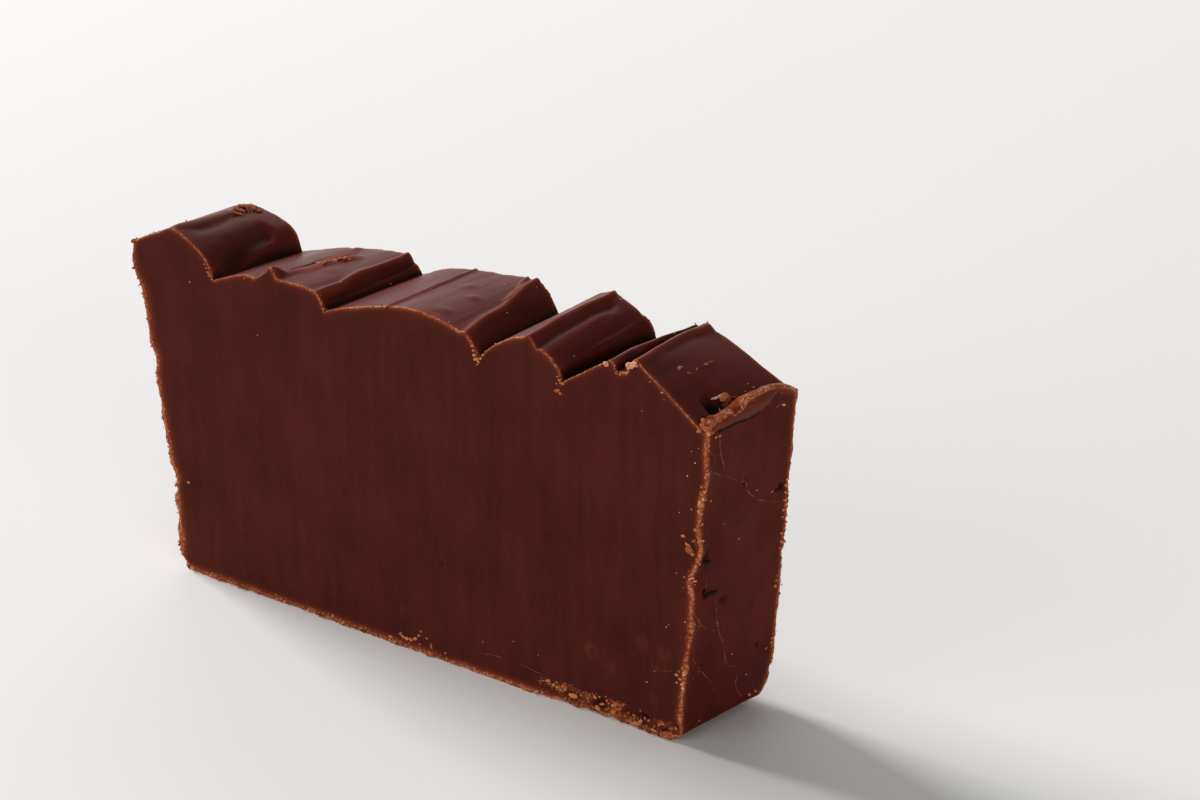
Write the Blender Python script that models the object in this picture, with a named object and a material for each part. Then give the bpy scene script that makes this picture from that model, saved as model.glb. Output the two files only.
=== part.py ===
# A slice of chocolate fudge, cut from a loaf whose top was swirled into laps
# with a paddle while it set. The slice stands on its bottom crust: its front and
# back are knife cuts, its top is the swirled skin and its ends are the loaf's sides.
# Blender 4.5, metres, +Z up. The origin is the middle of the underside.

import bpy
import bmesh
from collections import namedtuple
from math import cos, pi
from mathutils import Vector, noise

MM = 0.001

# Driving dimensions, in millimetres. x runs from the upper left corner.
THICKNESS = 23.7
LEFT_FOOT = 9.3
RIGHT_FOOT_FRONT = 125.4
RIGHT_FOOT_BACK = 127.4
RIGHT_TOP_FRONT = 131.1
RIGHT_TOP_BACK = 132.0

# One lap of the paddle, as points (x, z) along a cut face: it starts in the
# valley, rises over its shoulder to the crest and breaks down past its brow to the foot.
Lap = namedtuple("Lap", "start shoulder crest brow foot")

FRONT_LAPS = (
    Lap((0.0, 63.3), (6.1, 66.0), (10.6, 67.6), (17.5, 64.2), (20.2, 60.0)),
    Lap((20.2, 60.0), (28.9, 62.9), (39.6, 63.7), (45.0, 63.0), (47.1, 60.2)),
    Lap((47.1, 60.2), (56.2, 63.0), (67.8, 65.2), (79.0, 63.4), (82.9, 60.0)),
    Lap((82.9, 60.0), (86.8, 63.4), (93.3, 65.9), (99.3, 62.7), (100.7, 59.8)),
    Lap((100.7, 59.8), (105.0, 62.5), (109.0, 65.0), (111.0, 65.7), (112.3, 64.4)),
    Lap((112.3, 64.4), (114.6, 65.0), (116.2, 67.0), (122.0, 63.6), (129.2, 58.6)),
)
BACK_LAPS = (
    Lap((0.7, 62.9), (3.6, 64.6), (8.5, 65.4), (17.3, 63.2), (19.8, 58.8)),
    Lap((19.8, 58.8), (30.0, 61.7), (42.1, 63.7), (46.9, 63.5), (49.5, 60.8)),
    Lap((49.5, 60.8), (56.9, 63.6), (69.0, 65.1), (77.2, 65.2), (81.0, 60.5)),
    Lap((81.0, 60.5), (86.1, 63.6), (92.7, 67.1), (100.7, 63.9), (102.5, 60.8)),
    Lap((102.5, 60.8), (106.8, 62.8), (109.4, 64.5), (110.8, 65.4), (111.4, 65.1)),
    Lap((111.4, 65.1), (112.2, 65.5), (113.4, 65.8), (121.0, 62.9), (129.8, 58.8)),
)
COLUMNS_PER_LAP = (16, 18, 20, 14, 9, 17)

# A thin fold of skin that stands up on the second lap, from front to back.
FOLD_X = (34.3, 32.6)
FOLD_HEIGHT = (1.9, 0.7)
FOLD_HALF_WIDTH = 2.3

# The lip of skin that was dragged up along the top of the right end.
LIP_COLUMNS = 2
LIP_RISE = 3.6
LIP_FALL = 0.5
LIP_PEAK = 0.6
LIP_REACH_FRONT = 0.68
LIP_REACH_BACK = 0.42
LIP_OVERHANG = 0.7
LIP_OVERHANG_REACH = 0.62
LIP_THICKNESS = 0.03
TEAR_PLACE = (127.6, 0.27)
TEAR_RADIUS = 3.4
TEAR_DEPTH = 2.2

# Knife edges crumble by this much, and the front bottom edge is broken off at the right.
CRUMBLE = 0.75
CRUMBLE_SHARES = (0.45, 1.0)
CRUMBLE_LENGTH = 3.2
CRUMBLE_SEED = 1795815631
RIM_FALL = 0.4
BROKEN_EDGE = (84.0, 127.0)
BROKEN_HEIGHT = 4.0
BROKEN_DEPTH = 1.5
BROKEN_SHARES = (0.6, 1.4)

# The left end: its height, how far its top skews, and its hollows and its bulging upper
# corner, as height, depth inwards and half height. They fade towards the back.
LEFT_HEIGHT = 63.3
LEFT_SKEW = 0.7
LEFT_HOLLOWS = ((18.2, 1.1, 2.9), (40.6, 0.8, 3.4), (59.0, -1.2, 6.0))
HOLLOW_REACH = 0.6

# The foot of each end is rounded, and the right end's lower back corner is worn away.
LEFT_ROUND = 1.4
RIGHT_ROUND = 1.9
ROUND_HEIGHT = 0.028
WORN_DEPTH = 5.5
WORN_HEIGHT = 10.0
WORN_LENGTH = 32.0
WORN_PULL = 1.0

# The lattice's cells through the thickness and up the height, crowded at the edges.
DEPTH_CELLS = 9
DEPTH_CROWDING = 0.8
HEIGHT_CELLS = 20
HEIGHT_CROWDING = 0.8

FUDGE_COLOUR = (0.060, 0.014, 0.008, 1.0)
FUDGE_ROUGHNESS = 0.5


def between(low, high, share):
    return low + (high - low) * share


def station(place, cells, crowding):
    """How far along a side the lattice's ring lies, closer together at both ends."""
    even = place / cells
    return between(even, 0.5 - 0.5 * cos(pi * even), crowding)


def bump(distance, half_width):
    """A smooth hump: 1 at no distance, 0 from half_width on."""
    reach = min(abs(distance) / half_width, 1.0)
    return (1.0 - reach * reach) ** 2


def curve_through(points, share):
    """A smooth curve through a lap's points, at a share of its way."""
    spans = len(points) - 1
    place = min(share * spans, spans - 1e-6)
    span = int(place)
    t = place - span
    before = points[max(span - 1, 0)]
    here, there = points[span], points[span + 1]
    after = points[min(span + 2, spans)]
    result = []
    for a, b, c, d in zip(before, here, there, after):
        pull_in, pull_out = (c - a) / 2, (d - b) / 2
        result.append(b + t * (pull_in + t * (3 * (c - b) - 2 * pull_in - pull_out
                                              + t * (2 * (b - c) + pull_in + pull_out))))
    return result


def fold_height(x, depth):
    centre = between(*FOLD_X, depth)
    return between(*FOLD_HEIGHT, depth) * bump(x - centre, FOLD_HALF_WIDTH)


def tear_depth(x, depth):
    across = (depth - TEAR_PLACE[1]) * THICKNESS
    along = x - TEAR_PLACE[0]
    return TEAR_DEPTH * bump((across * across + along * along) ** 0.5, TEAR_RADIUS)


def lip_rise(depth):
    reach = LIP_REACH_FRONT if depth < LIP_PEAK else LIP_REACH_BACK
    return LIP_RISE * max(0.0, 1.0 - ((depth - LIP_PEAK) / reach) ** 2)


def skin_point(column, depth):
    """The swirled skin at a column of the lattice, as (x, z)."""
    first = 0
    for lap, columns in enumerate(COLUMNS_PER_LAP):
        if column <= first + columns:
            share = (column - first) / columns
            front = curve_through(FRONT_LAPS[lap], share)
            back = curve_through(BACK_LAPS[lap], share)
            x = between(front[0], back[0], depth)
            z = between(front[1], back[1], depth)
            return x, z + fold_height(x, depth) - tear_depth(x, depth)
        first += columns
    x, z = skin_point(first, depth)
    end = right_end(1.0, depth)
    share = (column - first) / LIP_COLUMNS
    return between(x, end, share), z + lip_rise(depth) - LIP_FALL * share


def left_end(height, depth):
    lean = between(LEFT_FOOT, LEFT_SKEW * depth, height) + LEFT_ROUND * bump(height, ROUND_HEIGHT)
    hollows = sum(inwards * bump(height * LEFT_HEIGHT - place, half_height)
                  for place, inwards, half_height in LEFT_HOLLOWS)
    return lean + hollows * bump(depth, HOLLOW_REACH)


def right_end(height, depth):
    foot = between(RIGHT_FOOT_FRONT, RIGHT_FOOT_BACK, depth) - RIGHT_ROUND * bump(height, ROUND_HEIGHT)
    top = between(RIGHT_TOP_FRONT, RIGHT_TOP_BACK, depth)
    overhang = bump(height - 1.0, LIP_THICKNESS) * bump(depth - LIP_PEAK, LIP_OVERHANG_REACH)
    return between(foot, top, height) + LIP_OVERHANG * overhang


def worn(x, z):
    """How much of the worn lower corner is gone at a place on the back, from 0 to 1."""
    below = 1.0 - min(z / WORN_HEIGHT, 1.0)
    return (1.0 - (1.0 - below * below) ** 0.5) * bump(x - RIGHT_FOOT_BACK, WORN_LENGTH)


def broken(x, z):
    """How much of the broken front bottom edge is gone at a place on the front, from 0 to 1."""
    start, stop = BROKEN_EDGE
    along = bump(x - (start + stop) / 2, (stop - start) / 2) ** 0.5
    rough = between(*BROKEN_SHARES, noise.noise(Vector((x, 0.0, z)) / CRUMBLE_LENGTH))
    return along * rough * max(0.0, 1.0 - z / BROKEN_HEIGHT)


def slice_point(column, columns, depth, height):
    """Where a point of the lattice lies on the slice, in millimetres."""
    top_x, top_z = skin_point(column, depth)
    left_top, right_top = left_end(1.0, depth), right_end(1.0, depth)
    along = (top_x - left_top) / (right_top - left_top)
    even = column / columns
    along = between(even, along, height)
    x = between(left_end(height, depth), right_end(height, depth), along)
    z = top_z * height
    wear = worn(x, z)
    front = -THICKNESS / 2 + BROKEN_DEPTH * broken(x, z)
    back = THICKNESS / 2 - WORN_DEPTH * wear
    return Vector((x - WORN_PULL * wear * depth, between(front, back, depth), z))


def crumbled(point, column, columns, depth, height):
    """Pulls the sharp edges in by uneven amounts, as a knife leaves them."""
    at_end = {0: 1.0, columns: -1.0}.get(column, 0.0)
    at_face = {0.0: 1.0, 1.0: -1.0}.get(depth, 0.0)
    at_rim = {0.0: 1.0, 1.0: -1.0}.get(height, 0.0)
    edges = abs(at_end) + abs(at_face) + abs(at_rim)
    grain = noise.noise_vector(point / CRUMBLE_LENGTH)
    pull_x, pull_y = (CRUMBLE * between(*CRUMBLE_SHARES, share) for share in (grain.x, grain.y))
    moved = point.copy()
    if edges >= 2:
        moved.x += at_end * pull_x
        moved.y += at_face * pull_y
        if at_rim < 0:
            moved.z -= RIM_FALL * pull_x
    return moved


def lattice(counts):
    """A closed unit box, cut into counts cells along x, y and z."""
    grid = bmesh.new()
    bmesh.ops.create_cube(grid, size=1.0)
    bmesh.ops.translate(grid, verts=grid.verts, vec=(0.5, 0.5, 0.5))
    for axis, count in enumerate(counts):
        along = [edge for edge in grid.edges
                 if abs(edge.verts[0].co[axis] - edge.verts[1].co[axis]) > 0.5]
        bmesh.ops.subdivide_edges(grid, edges=along, cuts=count - 1, use_grid_fill=True)
    return grid


def fudge_material():
    material = bpy.data.materials.new("dark_fudge")
    material.use_nodes = True
    shader = material.node_tree.nodes["Principled BSDF"]
    shader.inputs["Base Color"].default_value = FUDGE_COLOUR
    shader.inputs["Roughness"].default_value = FUDGE_ROUGHNESS
    shader.inputs["Metallic"].default_value = 0.0
    return material


def fudge_slice():
    columns = sum(COLUMNS_PER_LAP) + LIP_COLUMNS
    counts = (columns, DEPTH_CELLS, HEIGHT_CELLS)
    body = lattice(counts)
    for vert in body.verts:
        column, ring, row = (round(share * count) for share, count in zip(vert.co, counts))
        depth = station(ring, DEPTH_CELLS, DEPTH_CROWDING)
        height = station(row, HEIGHT_CELLS, HEIGHT_CROWDING)
        point = slice_point(column, columns, depth, height)
        vert.co = crumbled(point, column, columns, depth, height)
    low = min(vert.co.x for vert in body.verts)
    high = max(vert.co.x for vert in body.verts)
    front = min(vert.co.y for vert in body.verts)
    back = max(vert.co.y for vert in body.verts)
    centre = Vector(((low + high) / 2, (front + back) / 2, 0.0))
    bmesh.ops.translate(body, verts=body.verts, vec=-centre)
    bmesh.ops.scale(body, verts=body.verts, vec=(MM, MM, MM))
    bmesh.ops.triangulate(body, faces=body.faces[:], quad_method="SHORT_EDGE")
    bmesh.ops.recalc_face_normals(body, faces=body.faces)

    mesh = bpy.data.meshes.new("fudge_slice")
    body.to_mesh(mesh)
    body.free()
    mesh.materials.append(fudge_material())
    solid = bpy.data.objects.new("fudge_slice", mesh)
    bpy.context.scene.collection.objects.link(solid)
    return solid


for leftover in list(bpy.data.objects):
    bpy.data.objects.remove(leftover)
noise.seed_set(CRUMBLE_SEED)
fudge_slice()
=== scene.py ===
import random
from collections import namedtuple
from functools import cache
from math import cos, exp, pi, radians, sin, tau

import bmesh
import bpy
from mathutils import Euler, Matrix, Vector, noise
from mathutils.bvhtree import BVHTree


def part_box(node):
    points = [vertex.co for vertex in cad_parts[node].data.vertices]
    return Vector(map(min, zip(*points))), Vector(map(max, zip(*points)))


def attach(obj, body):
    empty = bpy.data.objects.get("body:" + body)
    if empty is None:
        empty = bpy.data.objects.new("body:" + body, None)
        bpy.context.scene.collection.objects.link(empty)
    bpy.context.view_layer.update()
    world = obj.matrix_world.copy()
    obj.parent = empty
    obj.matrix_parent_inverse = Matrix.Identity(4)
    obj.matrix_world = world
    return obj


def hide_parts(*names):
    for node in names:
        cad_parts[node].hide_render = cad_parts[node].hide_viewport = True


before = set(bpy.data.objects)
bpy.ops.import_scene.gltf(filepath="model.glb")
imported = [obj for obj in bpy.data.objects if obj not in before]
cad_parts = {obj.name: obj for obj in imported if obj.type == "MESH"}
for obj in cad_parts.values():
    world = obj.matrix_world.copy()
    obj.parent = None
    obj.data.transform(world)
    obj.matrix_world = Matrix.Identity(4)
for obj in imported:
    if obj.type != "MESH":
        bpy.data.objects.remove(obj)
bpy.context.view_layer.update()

MM = 0.001

# The noise in lumps, knobs and cracks is the same in every run.
NOISE_SEED = 41
noise.seed_set(NOISE_SEED)

# The view. The photograph was taken with a long lens from the right front, a little over
# half a metre off and 20 cm above the slice's top, so that the front cut, the right end
# and the swirled top all show.
VIEW_PLACE = (0.35585, -0.4076, 0.2619)
VIEW_YAW, VIEW_PITCH, VIEW_ROLL = radians(38.315), radians(21.943), radians(-0.162)
LENS = 99.0
SENSOR = 36.0


def view_matrix():
    """Stands the camera at its place, turned by its yaw, pitch and roll."""
    back = Vector((sin(VIEW_YAW) * cos(VIEW_PITCH), -cos(VIEW_YAW) * cos(VIEW_PITCH), sin(VIEW_PITCH)))
    side = Vector((cos(VIEW_YAW), sin(VIEW_YAW), 0.0))
    up = back.cross(side)
    right = side * cos(VIEW_ROLL) + up * sin(VIEW_ROLL)
    above = up * cos(VIEW_ROLL) - side * sin(VIEW_ROLL)
    turn = Matrix((right, above, back)).transposed().to_4x4()
    return Matrix.Translation(VIEW_PLACE) @ turn


lens = bpy.data.cameras.new("slice_view")
lens.lens = LENS
lens.sensor_width = SENSOR
lens.sensor_fit = "HORIZONTAL"
lens.clip_start = 0.01
lens.clip_end = 20.0
view = bpy.data.objects.new("slice_view", lens)
bpy.context.scene.collection.objects.link(view)
view.matrix_world = view_matrix()
bpy.context.scene.camera = view
bpy.context.scene.view_settings.view_transform = "Standard"


# The table top and the light. A plain pale floor and a dim even room. One big soft lamp
# stands far off the slice's left end and lays its shadow to the right, a pale backdrop
# behind draws the sheen on the swirls, and two weak fills light the front and the end.
FLOOR_SIZE = 6.0
FLOOR_COLOUR = (0.86, 0.845, 0.83, 1.0)
FLOOR_ROUGHNESS = 0.6
FLOOR_SHINE = 0.2
ROOM_COLOUR = (1.0, 1.0, 1.0, 1.0)
ROOM_STRENGTH = 0.17
LAMP_PLACE = (-4.3, 0.35, 2.5)
LAMP_SIZE = 2.0
LAMP_POWER = 310.0
BACKDROP_PLACE = (-1.5, 1.8, 0.95)
BACKDROP_SIZE = 2.2
BACKDROP_POWER = 14.0
FRONT_PLACE = (-0.8, -2.6, 1.1)
FRONT_SIZE = 2.0
FRONT_POWER = 18.5
FILL_PLACE = (1.8, -0.9, 0.55)
FILL_SIZE = 1.0
FILL_POWER = 9.0


def new_material(name, colour, roughness, shine):
    """A Principled material and its shader, with the finish that is even all over."""
    material = bpy.data.materials.new(name)
    material.use_nodes = True
    shader = material.node_tree.nodes["Principled BSDF"]
    shader.inputs["Base Color"].default_value = colour
    shader.inputs["Roughness"].default_value = roughness
    shader.inputs["Specular IOR Level"].default_value = shine
    return material, shader


def solid_from(shape, name, materials):
    """Turns a bmesh into an object at the origin, with its materials."""
    mesh = bpy.data.meshes.new(name)
    shape.to_mesh(mesh)
    shape.free()
    for material in materials:
        mesh.materials.append(material)
    piece = bpy.data.objects.new(name, mesh)
    bpy.context.scene.collection.objects.link(piece)
    return piece


def soft_lamp(name, place, size, power):
    """A square soft lamp that looks at the slice."""
    lamp = bpy.data.lights.new(name, "AREA")
    lamp.shape = "SQUARE"
    lamp.size = size
    lamp.energy = power
    holder = bpy.data.objects.new(name, lamp)
    bpy.context.scene.collection.objects.link(holder)
    holder.location = place
    holder.rotation_euler = Vector(place).to_track_quat("Z", "Y").to_euler()


floor_shape = bmesh.new()
bmesh.ops.create_grid(floor_shape, x_segments=1, y_segments=1, size=FLOOR_SIZE / 2)
floor_finish = new_material("pale_table", FLOOR_COLOUR, FLOOR_ROUGHNESS, FLOOR_SHINE)[0]
floor = solid_from(floor_shape, "pale_table", [floor_finish])

room = bpy.data.worlds.new("dim_room")
room.use_nodes = True
room.node_tree.nodes["Background"].inputs["Color"].default_value = ROOM_COLOUR
room.node_tree.nodes["Background"].inputs["Strength"].default_value = ROOM_STRENGTH
bpy.context.scene.world = room
soft_lamp("left_lamp", LAMP_PLACE, LAMP_SIZE, LAMP_POWER)
soft_lamp("pale_backdrop", BACKDROP_PLACE, BACKDROP_SIZE, BACKDROP_POWER)
soft_lamp("front_fill", FRONT_PLACE, FRONT_SIZE, FRONT_POWER)
soft_lamp("right_fill", FILL_PLACE, FILL_SIZE, FILL_POWER)


# The slice itself: one cut of dark chocolate fudge. The loaf's top was swirled into
# laps with a paddle and set to a satin skin. A knife cut the front and the back, so
# those faces are flat and matt, and every knife edge crumbled a little.
THICKNESS = 23.7
LEFT_FOOT = 9.3
LEFT_SKEW = 0.7
RIGHT_FOOT = (125.4, 127.4)
RIGHT_TOP = (131.1, 132.0)

# Points (x, z) of each lap along the front and back cuts, in millimetres, with x
# from the upper left corner: valley, shoulder, crest, brow and next valley.
Lap = namedtuple("Lap", "start shoulder crest brow foot")
FRONT_LAPS = (
    Lap((0.0, 63.3), (6.1, 66.0), (10.6, 67.6), (17.5, 64.2), (20.2, 60.0)),
    Lap((20.2, 60.0), (28.9, 62.9), (39.6, 63.7), (45.0, 63.0), (47.1, 60.2)),
    Lap((47.1, 60.2), (56.2, 63.0), (67.8, 65.2), (79.0, 63.4), (82.9, 60.0)),
    Lap((82.9, 60.0), (86.8, 63.4), (93.3, 65.9), (99.3, 62.7), (100.7, 59.8)),
    Lap((100.7, 59.8), (105.0, 62.5), (109.0, 65.0), (111.0, 65.7), (112.3, 64.4)),
    Lap((112.3, 64.4), (114.6, 65.0), (116.2, 67.0), (122.0, 63.6), (129.2, 58.6)),
)
BACK_LAPS = (
    Lap((0.7, 62.9), (3.6, 64.6), (8.5, 65.4), (17.3, 63.2), (19.8, 58.8)),
    Lap((19.8, 58.8), (30.0, 61.7), (42.1, 63.7), (46.9, 63.5), (49.5, 60.8)),
    Lap((49.5, 60.8), (56.9, 63.6), (69.0, 65.1), (77.2, 65.2), (81.0, 60.5)),
    Lap((81.0, 60.5), (86.1, 63.6), (92.7, 67.1), (100.7, 63.9), (102.5, 60.8)),
    Lap((102.5, 60.8), (106.8, 62.8), (109.4, 64.5), (110.8, 65.4), (111.4, 65.1)),
    Lap((111.4, 65.1), (112.2, 65.5), (113.4, 65.8), (121.0, 62.9), (129.8, 58.8)),
)
LAP_COLUMNS = (44, 56, 62, 46, 36, 48)
STEPS_PER_COLUMN = 12
CREVICE_REACH = 0.9

# Columns crowd together at creases and crevices: how strongly, and how far around each.
CREASE_CROWDING, CREASE_CROWDED = 2.5, 1.2
CREVICE_CROWDING, CREVICE_CROWDED = 1.5, 1.5

# Creases and folds that the paddle left in the skin: the way of each over the top as
# (x, share of the thickness), its height (less than 0 is a groove) and its half width.
Crease = namedtuple("Crease", "way height half_width")
CREASES = {
    "rim_of_first_lap": Crease(((9.8, 0.13), (9.9, 0.25), (9.2, 0.5), (8.4, 0.66)), 0.4, 2.2),
    "line_under_the_rim": Crease(((11.9, 0.22), (11.3, 0.5), (10.4, 0.66)), -0.3, 0.7),
    "shelf_of_first_lap": Crease(((19.4, 0.2), (18.4, 0.35), (17.4, 0.55), (16.7, 0.72)), -1.7, 2.6),
    "small_peak": Crease(((33.9, 0.0), (34.2, 0.03)), 1.35, 2.2),
    "peak_dip": Crease(((30.2, 0.0), (29.6, 0.3)), -0.5, 1.6),
    "peak_fan": Crease(((34.3, 0.0), (36.1, 0.27), (36.9, 0.42), (37.6, 0.58), (39.2, 0.7)), 0.6, 1.2),
    "peak_second_fold": Crease(((34.0, 0.3), (34.6, 0.45), (34.1, 0.84)), -0.4, 0.9),
    "peak_third_fold": Crease(((35.6, 0.5), (35.4, 0.7), (35.0, 0.9)), 0.5, 0.7),
    "second_lap_roll": Crease(((45.5, 0.0), (45.9, 0.25), (45.2, 0.5), (46.2, 0.75), (46.2, 1.0)),
                              0.5, 1.1),
    "second_lap_groove": Crease(((46.6, 0.1), (46.9, 0.3), (47.5, 0.65), (47.8, 1.0)), -0.45, 0.7),
    "third_lap_line": Crease(((62.3, 0.0), (62.3, 0.45), (62.0, 0.8), (62.3, 1.0)), 0.45, 0.6),
    "third_lap_brow": Crease(((79.7, 0.0), (78.9, 0.21), (78.0, 0.53), (77.4, 0.7), (76.4, 0.85),
                              (76.2, 1.0)), 0.6, 1.2),
    "third_lap_second_brow": Crease(((76.9, 0.64), (75.9, 0.78), (74.4, 0.91), (74.0, 1.0)), 0.3, 0.6),
    "fourth_lap_crest": Crease(((93.6, 0.0), (92.9, 0.31), (92.7, 0.63), (93.5, 0.87), (93.5, 1.0)),
                               0.5, 0.9),
    "fourth_lap_groove": Crease(((95.3, 0.0), (95.0, 0.35), (94.9, 0.7), (95.2, 0.82)), -0.7, 1.2),
    "fourth_lap_ledge": Crease(((99.6, 0.1), (99.4, 0.45), (99.6, 0.8)), -0.2, 1.0),
    "last_fold": Crease(((111.0, 0.0), (110.0, 0.33), (110.8, 0.6), (111.8, 0.84)), 0.5, 1.3),
    "last_valley": Crease(((112.5, 0.2), (112.4, 0.35), (112.5, 0.6)), -0.6, 1.0),
    "last_crest": Crease(((116.4, 0.0), (115.1, 0.29), (114.2, 0.52), (113.8, 0.83), (113.8, 1.0)), 0.5, 1.3),
}
CREASE_FADE = 0.12
WANDER_ROOM = 0.4
FULL_LINE_HEIGHT = 0.5

# Noise over the skin, as (height, waves to the millimetre along the slice, waves through
# its thickness, seed): in the height of a crease, in its way and in the paddle's streaks.
CREASE_SWELL = ((0.35, 0.25, 4.0, 3.0),)
CREASE_WANDER = ((0.35, 0.3, 5.0, 7.0),)
PADDLE_STREAKS = ((0.10, 0.55, 1.6, 11.0), (0.04, 1.7, 1.3, 5.0))

# Low bumps in the skin: x, share of the thickness, height and radius.
SKIN_BUMPS = ((68.0, 0.63, 0.3, 2.2), (72.5, 0.46, 0.3, 1.8), (72.3, 0.15, 0.25, 2.0),
              (40.5, 0.4, 0.2, 3.0))

# The lip that was dragged up along the top of the right end, and the tear beside it.
LIP_COLUMNS = 10
LIP_RISE = 3.6
LIP_STEEPNESS = 1.6
LIP_FALL = 0.5
LIP_PEAK = 0.6
LIP_REACH_FRONT = 0.68
LIP_REACH_BACK = 0.42
LIP_OVERHANG = 0.7
LIP_OVERHANG_REACH = 0.62
LIP_THICKNESS = 0.03
TEAR_PLACE = (127.3, 0.31)
TEAR_RADIUS = 3.2
TEAR_DEPTH = 3.8
TEAR_UNEVENNESS = 0.5
# How strongly painted shade darkens the torn hole.
TEAR_SHADE = 1.6

# The lattice's cells through the thickness and up the height, crowded at the edges.
DEPTH_CELLS = 54
DEPTH_CROWDING = 0.65
HEIGHT_CELLS = 78
HEIGHT_CROWDING = 0.7

# Pits that the knife opened in the front cut: x and z on the face, radius and depth.
CUT_PITS = ((73.3, 18.6, 1.0, 0.35), (71.4, 17.9, 0.8, 0.3), (65.1, 17.2, 0.9, 0.25), (83.7, 25.2, 0.8, 0.3),
            (97.9, 30.8, 1.3, 0.3), (51.1, 26.6, 1.0, 0.25), (30.2, 52.0, 0.9, 0.25), (46.0, 44.0, 0.7, 0.2))
# How strongly painted shade darkens the pits.
PIT_SHADE = 0.35
# Scuffs on the front cut, where it is a little paler: x and z on the face, radius and
# strength. They are broken up by noise of so many waves to the millimetre.
SCUFFS = ((106.6, 11.8, 2.8, 0.20), (111.2, 9.8, 2.8, 0.18), (117.8, 16.5, 2.6, 0.20),
          (122.3, 16.2, 2.6, 0.22), (121.2, 13.5, 2.4, 0.20), (120.2, 7.1, 2.2, 0.16),
          (63.8, 6.6, 2.6, 0.14))
SCUFF_LEVEL, SCUFF_WAVES = 0.5, 0.9
# How far the flat faces wave: height and waves to the millimetre.
KNIFE_WAVES = ((0.05, 0.12),)
RIGHT_WAVES = ((0.16, 0.16), (0.05, 0.7))
LEFT_WAVES = ((0.30, 0.16), (0.08, 0.7))
# Slots and pits in the right end: share of the thickness, z, half width, half height and depth. Each is
# darkened with painted shade.
END_PITS = ((0.92, 41.2, 1.5, 0.8, 1.1), (0.15, 27.9, 1.3, 0.8, 0.7), (0.48, 45.6, 0.8, 0.7, 0.7),
            (0.11, 34.6, 1.3, 1.2, 0.9), (0.36, 24.4, 1.5, 0.9, 1.2), (0.80, 12.1, 0.6, 0.6, 0.4))

# The left end's height, and how far the feet of the two ends are rounded in, over a share
# of their height.
LEFT_HEIGHT = 63.3
LEFT_ROUND = 1.4
RIGHT_ROUND = 1.9
ROUND_HEIGHT = 0.028

# How each end departs from a straight line up the front cut, as bumps: height, depth
# inwards, which is less than 0 where it bulges, and half height. Heights run up to
# LEFT_HEIGHT on both ends, and the bumps fade towards the back.
LEFT_HOLLOWS = ((2.0, -1.0, 12.0), (18.2, 1.1, 2.9), (40.6, 0.8, 3.4), (59.0, -1.6, 6.0),
                (45.0, -0.35, 40.0))
HOLLOW_REACH = 0.6
SEAM_HOLLOWS = ((53.5, -0.7, 5.0), (39.3, -0.9, 4.5), (33.0, 0.8, 2.8), (22.5, -0.5, 6.0))
SEAM_REACH = 0.14

# The crust stands proud at the front's foot, unevenly: its level, its unevenness and its
# waves to the millimetre.
CRUST_PROUD = 0.45
CRUST_HEIGHT = 1.0
CRUST_LEVEL, CRUST_UNEVENNESS, CRUST_WAVES = 0.7, 0.8, 0.09

# The front bottom edge is broken off in a rough step from one x to the other. The noise in
# its line and in its depth is given as strength, waves to the millimetre and seed. Patches
# of crumbs lie over it, and the hollows between them are darkened with painted shade.
BROKEN_EDGE = (92.5, 130.5)
BROKEN_HEIGHT = 4.4
BROKEN_DEPTH = 1.5
BROKEN_STEEPNESS = 2.6
BROKEN_LINE = ((0.9, 0.35, 4.0), (0.5, 1.1, 8.0))
BROKEN_LEVEL = 0.85
BROKEN_ROUGHNESS = ((0.5, 0.5, 0.0), (0.4, 1.2, 3.0))
PATCH_LEVEL, PATCH_UNEVENNESS = 0.45, 1.2
PATCH_WAVES = (0.32, 0.5)
PATCH_CLINGING, PATCH_FULL = 2.0, 1.1
PATCH_PALE = 0.65
PATCH_SHADE, SHADE_START, SHADE_REACH = 0.75, 0.9, 0.5

# The lower back corner of the right end is worn away.
WORN_DEPTH = 5.5
WORN_HEIGHT = 10.0
WORN_LENGTH = 32.0
WORN_PULL = 1.0

# The knife edges: the two faces that meet, the axis that the edge runs along, how far it
# crumbles in, how wide the crumbling reaches, how pale it is, which also sets its painted
# glow, how wide the pale rim is and how thickly crumbs cling to it.
Edge = namedtuple("Edge", "faces runs bite reach pale rim clinging")
EDGES = (
    Edge(("front", "left"), 2, 0.50, 1.7, 1.60, 0.66, 1.15),
    Edge(("front", "right"), 2, 0.50, 1.7, 1.25, 0.33, 1.00),
    Edge(("front", "top"), 0, 0.10, 0.9, 0.90, 0.21, 0.28),
    Edge(("front", "foot"), 0, 0.25, 1.6, 1.25, 0.42, 0.85),
    Edge(("back", "left"), 2, 0.45, 1.9, 0.85, 0.45, 0.75),
    Edge(("back", "right"), 2, 0.22, 1.3, 1.15, 0.34, 0.85),
    Edge(("back", "top"), 0, 0.12, 0.9, 0.80, 0.26, 0.14),
    Edge(("back", "foot"), 0, 0.30, 1.6, 0.80, 0.45, 0.60),
    Edge(("left", "top"), 1, 0.40, 1.6, 0.75, 0.40, 0.60),
    Edge(("right", "top"), 1, 0.05, 0.9, 0.78, 0.55, 0.00),
    Edge(("left", "foot"), 1, 0.25, 1.4, 0.60, 0.45, 0.40),
    Edge(("right", "foot"), 1, 0.12, 1.2, 0.45, 0.30, 0.15),
)
INWARD = {"front": Vector((0, 1, 0)), "back": Vector((0, -1, 0)), "left": Vector((1, 0, 0)),
          "right": Vector((-1, 0, 0)), "top": Vector((0, 0, -1)), "foot": Vector((0, 0, 1))}
RIM_FULLNESS = 1.6
CLINGING_REACH = 0.55
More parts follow.
